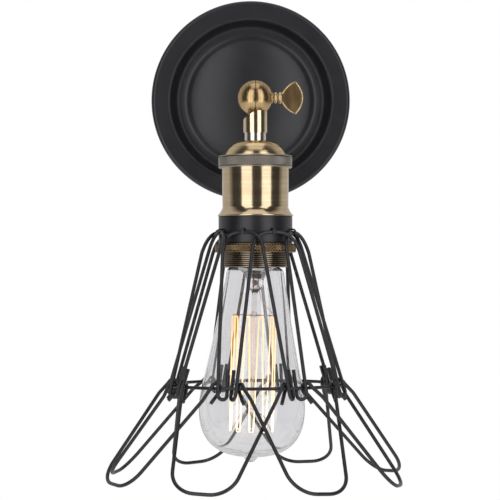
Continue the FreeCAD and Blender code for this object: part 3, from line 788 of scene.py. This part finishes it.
# Clamp ring with plain lips and a diamond knurl: every other point of a fine side grid stands out.
def buildKnurledRing(place):
    ring = knurl[place]
    radius, start, end, lip = ring["radius"], ring["start"], ring["end"], ring["lip"]
    edge, shoulder, columns = knurl["edge"], knurl["shoulder"], knurl["columns"]
    low = radius - knurl["depth"]
    rows = round((end - start - 2 * lip) / knurl["row"])
    step = (end - start - 2 * lip) / rows
    rings = [(ring["bore"], start), (radius - edge, start), (radius, start + edge),
             (radius, start + lip - shoulder)]
    rings += [(low, start + lip + row * step) for row in range(rows + 1)]
    rings += [(radius, end - lip + shoulder), (radius, end - edge), (radius - edge, end),
              (ring["bore"], end)]
    piece = turn(hanging(rings), columns)

    def inKnurl(x, y, z):
        return abs(math.hypot(x, y) - low) < 0.02   # room for rounding

    def standsOut(x, y, z):
        column = round(math.atan2(y, x) / (2 * math.pi) * columns)
        row = round((-z - start - lip) / step)
        return inKnurl(x, y, z) and 0 < row < rows and (column + row) % 2 == 0

    # The painted shade mask: 1 on the raised points, 0 in the grooves, a half on the lips and the
    # bore.
    def shadeMaskAt(x, y, z):
        return float(standsOut(x, y, z)) if inKnurl(x, y, z) else knurl["lipShade"]

    raised = [shadeMaskAt(*(vertex.co / mm)) for vertex in piece.data.vertices]
    selectPoints(piece, standsOut)
    grow = radius / low
    bpy.ops.transform.resize(value=(grow, grow, 1), center_override=(0, 0, 0))
    bpy.ops.mesh.select_more()
    bpy.ops.mesh.quads_convert_to_tris(quad_method="SHORTEST_DIAGONAL", ngon_method="BEAUTY")
    bpy.ops.object.mode_set(mode="OBJECT")
    markRaised(piece, raised)
    settle(piece, place + "_grip_ring", "lamp_head",
           paints[ring["paint"]], leanMatrix(), smooth=12.0)
    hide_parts(ring["node"])


sleeve = {
    "outer": 19.9, "root": 19.1, "inner": 18.5, "crest": 0.3,
    "top": 72.5, "threadTop": 94.1, "end": 103.2, "ridges": 8,
    "ridge": ((0.18, "root"), (0.42, "outer"), (0.68, "outer"), (0.92, "root")),   # over one pitch
}


# Sleeve with rolled ridges under the lower ring.
def buildThreadSleeve():
    pitch = (sleeve["end"] - sleeve["threadTop"]) / sleeve["ridges"]
    rings = [(sleeve["inner"], sleeve["top"]), (sleeve["root"], sleeve["top"]),
             (sleeve["root"], sleeve["threadTop"])]
    for ridge in range(sleeve["ridges"]):
        start = sleeve["threadTop"] + ridge * pitch
        rings += [(sleeve[level], start + share * pitch) for share, level in sleeve["ridge"]]
    rings += [(sleeve["inner"], sleeve["end"])]
    piece = turn(hanging(rings), segments=128)
    crest = sleeve["root"] + sleeve["crest"]
    # Painted shade: the crests keep their colour and the grooves between them are darkened.
    markRaised(piece, [float(math.hypot(vertex.co.x, vertex.co.y) / mm > crest)
                       for vertex in piece.data.vertices])
    settle(piece, "ridged_sleeve", "lamp_head",
           paints["thread"], leanMatrix(), smooth=25.0)
    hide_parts("thread_sleeve")


bulb = {
    "lean": math.radians(1.6), "pivot": -101.0 * mm, "wall": 0.7,
    "side": [(12.55, 99.9), (12.6, 101.2), (14.4, 102.9), (17.2, 105.2), (18.2, 111.0),
             (21.0, 127.0), (24.5, 146.0), (27.9, 163.0), (31.0, 177.0), (32.2, 189.0),
             (30.9, 199.8), (26.4, 208.8), (18.6, 214.9), (10.0, 217.4), (5.0, 218.0),
             (3.6, 219.4), (2.2, 220.8), (0.3, 221.2)],
}


# The bulb sits a little crooked in its socket, turned about its neck.
def bulbMatrix():
    pivot = Matrix.Translation((0, 0, bulb["pivot"]))
    return leanMatrix() @ pivot @ Matrix.Rotation(bulb["lean"], 4, "Y") @ pivot.inverted()


# Pear-shaped blown glass with its sealed tip, one even wall thick.
def buildBulbGlass():
    piece = turn(hanging(smoothRings(bulb["side"], steps=4)), segments=128, closed=False)
    tip = min(vertex.co.z for vertex in piece.data.vertices) / mm
    selectPoints(piece, lambda x, y, z: z < tip + 0.01)   # the last ring, closed to a point
    bpy.ops.mesh.merge(type="CENTER")
    bpy.ops.mesh.select_all(action="SELECT")
    bpy.ops.mesh.normals_make_consistent(inside=False)
    bpy.ops.object.mode_set(mode="OBJECT")
    applyModifier(piece, "SOLIDIFY", thickness=bulb["wall"] * mm, offset=-1)
    settle(piece, "blown_glass", "lamp_head",
           paints["glass"], bulbMatrix(), smooth=75.0)
    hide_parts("bulb_glass")


stem = {
    "side": [(0.3, 99.4), (11.6, 99.6), (11.7, 101.0), (10.2, 104.0), (6.8, 107.5), (5.4, 110.5),
             (5.2, 113.0), (4.0, 116.0), (1.7, 118.5), (1.3, 124.0), (1.2, 130.0), (1.9, 132.6),
             (1.3, 135.0), (1.1, 160.0), (1.1, 190.0), (1.8, 192.0), (0.3, 193.4)],
    "weld": [(0.15, 110.6), (0.8, 110.9), (1.25, 111.9), (1.1, 113.0), (0.5, 113.7), (0.15, 113.8)],
}


# Pressed glass stem: a flare in the neck, a thin rod with two beads and an amber weld on the flare.
def buildBulbStem():
    piece = turn(hanging(smoothRings(stem["side"], steps=3)), segments=48, closed=False)
    closeEnds(piece)
    settle(piece, "glass_stem", "lamp_head",
           paints["stemGlass"], bulbMatrix(), smooth=60.0)
    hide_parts("bulb_stem")
    weld = turn(hanging(smoothRings(stem["weld"], steps=3)), segments=24, closed=False)
    closeEnds(weld)
    settle(weld, "amber_weld", "lamp_head",
           paints["weld"], bulbMatrix(), smooth=60.0)


# The filament is a basket of upright strands round the stem, counted as columns.
basket = {
    "columns": 20, "radius": 13.4, "top": 133.2, "low": 202.4, "turned": 0.35, "drift": 0.2,
    "wire": 0.32, "bend": 1.1,
}
support = {
    "wire": 0.20, "bend": 6.0, "rod": 1.4, "elbow": 0.55, "rise": 0.5, "inside": 0.2, "past": 0.8,
    "lowBead": 191.6, "topBead": 132.6,
}
lead = {"from": 114.0, "rod": 1.6, "elbow": 0.35, "above": 9.0, "bend": 5.0}


def columnPoint(index, distance, radius):
    angle = 2 * math.pi * (index + basket["turned"]) / basket["columns"]
    return Vector((radius * math.cos(angle), radius * math.sin(angle), -distance))


# One long filament hung as hairpins round the stem: down the even columns and up the odd ones,
# each a little out of upright.
def buildFilament():
    corners = []
    for index in range(basket["columns"]):
        down = index % 2 == 0
        drift = basket["drift"] if down else -basket["drift"]
        for end in ("top", "low") if down else ("low", "top"):
            across = index + (drift if end == "low" else -drift)
            corners.append(columnPoint(across, basket[end], basket["radius"]))
    bends = [basket["bend"]] * (len(corners) - 2)
    wire = bentWire(corners, bends, basket["wire"], roundness=3, fineness=4)
    settle(wire, "hairpin_filament", "lamp_head",
           paints["glow"], bulbMatrix(), smooth=60.0)
    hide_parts("filament")


# Fine hooks from the beads on the glass rod to each bend of the filament, and its two leads.
def buildSupports():
    wires = []
    for index in range(basket["columns"]):
        if index % 2 == 0:
            end, bead, side = basket["low"], support["lowBead"], 1
        else:
            end, bead, side = basket["top"], support["topBead"], -1
        between = index + 0.5
        inner = columnPoint(between, bead, support["rod"])
        elbow = columnPoint(between, bead + side * support["rise"],
                            basket["radius"] * support["elbow"])
        outer = columnPoint(between, end + side * support["past"],
                            basket["radius"] - support["inside"])
        wires.append(bentWire([inner, elbow, outer], [support["bend"]], support["wire"],
                              roundness=2, fineness=3))
    for index in (0, basket["columns"] - 1):
        end = columnPoint(index, basket["top"], basket["radius"])
        low = columnPoint(index, basket["top"] - lead["above"], basket["radius"] * lead["elbow"])
        root = columnPoint(index, lead["from"], lead["rod"])
        wires.append(bentWire([root, low, end], [lead["bend"]], support["wire"],
                              roundness=2, fineness=4))
    piece = settle(joinPieces(wires), "filament_hooks", "lamp_head",
                   paints["support"], bulbMatrix(), smooth=60.0)
    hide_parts("filament_supports")


# The camera as fitted to the photograph, in metres.
view = {
    "place": (-0.04686, -1.26261, -0.03273),
    "yaw": math.radians(2.127),
    "down": math.radians(2.915),
    "lens": 139.02,
    "sensor": 36.0,
    "near": 0.01,
}


def buildCamera():
    deselectAll()
    bpy.ops.object.camera_add(location=view["place"])
    camera = bpy.context.object
    camera.name = "photo_camera"
    camera.data.sensor_width = view["sensor"]
    camera.data.lens = view["lens"]
    camera.rotation_euler = (math.pi / 2 - view["down"], 0, -view["yaw"])
    camera.data.clip_start = view["near"]
    bpy.context.scene.camera = camera


# In metres and watts. The two in front stand round the target, which is inside the cage.
lamps = {
    "left": {"azimuth": -32.0, "distance": 1.5, "height": 0.645,
             "size": (0.98, 2.61), "power": 15.4},
    "right": {"azimuth": 36.5, "distance": 1.5, "height": 0.645,
              "size": (0.88, 2.61), "power": 14.2},
}
topLamp = {"place": (0, -0.35, 1.5), "size": 1.2, "power": 4.5}
lampTarget = (0, -head["reach"], -0.08)


def addLamp(name, place, power):
    deselectAll()
    bpy.ops.object.light_add(type="AREA", location=place)
    light = bpy.context.object
    light.name = name + "_softbox"
    light.data.energy = power
    return light


# Two tall upright softboxes in front, for the strips on the brass, and a soft one from above.
def buildLights():
    for name, lamp in lamps.items():
        azimuth = math.radians(lamp["azimuth"])
        away = Vector((math.sin(azimuth), -math.cos(azimuth), 0)) * lamp["distance"]
        place = Vector(lampTarget) + away
        place.z += lamp["height"]
        light = addLamp(name, place, lamp["power"])
        light.data.shape = "RECTANGLE"
        light.data.size, light.data.size_y = lamp["size"]
        light.rotation_euler = (math.pi / 2, 0, azimuth)
    top = addLamp("top", topLamp["place"], topLamp["power"])
    top.data.size = topLamp["size"]


room = {"front": (0.46, (0.06, 0.06, 0.06)), "back": (0.66, (0.62, 0.62, 0.62)),
        "dull": (0.75, 0.75, 0.75, 1), "white": (1, 1, 1, 1)}


# White seen straight or through glass, a dark room in front and a pale one behind for reflections,
# and an even grey for the rest.
def buildWorld():
    world = bpy.data.worlds.new("studio")
    bpy.context.scene.world = world
    world.use_nodes = True
    tree = world.node_tree
    background = tree.nodes["Background"]
    place = tree.nodes.new("ShaderNodeTexCoord")
    towardsWall = addRange(tree, splitPlace(tree, place.outputs["Generated"])["Y"], start=-1.0)
    walls = addRamp(tree, towardsWall, [room["front"], room["back"]])
    rays = tree.nodes.new("ShaderNodeLightPath").outputs
    reflected = addMix(tree, "RGBA", rays["Is Glossy Ray"], room["dull"], walls)
    straight = addMath(tree, "MAXIMUM", rays["Is Camera Ray"], rays["Is Transmission Ray"])
    seen = addMix(tree, "RGBA", straight, reflected, room["white"])
    tree.links.new(seen, background.inputs["Color"])
    background.inputs["Strength"].default_value = 1.0


ground = {"size": 4.0, "place": (0, 0.3, -0.75),
          "dark": (0.80, 0.80, 0.79), "light": (0.84, 0.84, 0.83)}


def buildFloor():
    deselectAll()
    bpy.ops.mesh.primitive_plane_add(size=ground["size"], location=ground["place"])
    floor = bpy.context.object
    floor.name = "pale_floor"
    floor.data.materials.append(plainSolid("pale_floor", ground["dark"], ground["light"], 0.6))


dressNodes()
print("stage: finishes done")
buildLoops()
buildPetals()
print("stage: cage wires done")
buildCanopy()
buildThumbScrew()
print("stage: plate and screw done")
buildCap()
buildShell()
buildCollar()
buildKnurledRing("upper")
buildKnurledRing("lower")
buildThreadSleeve()
print("stage: socket done")
buildBulbGlass()
buildBulbStem()
buildFilament()
buildSupports()
print("stage: bulb done")
buildCamera()
buildLights()
buildWorld()
buildFloor()
bpy.context.scene.view_settings.view_transform = "Standard"
print("stage: camera and lights done")
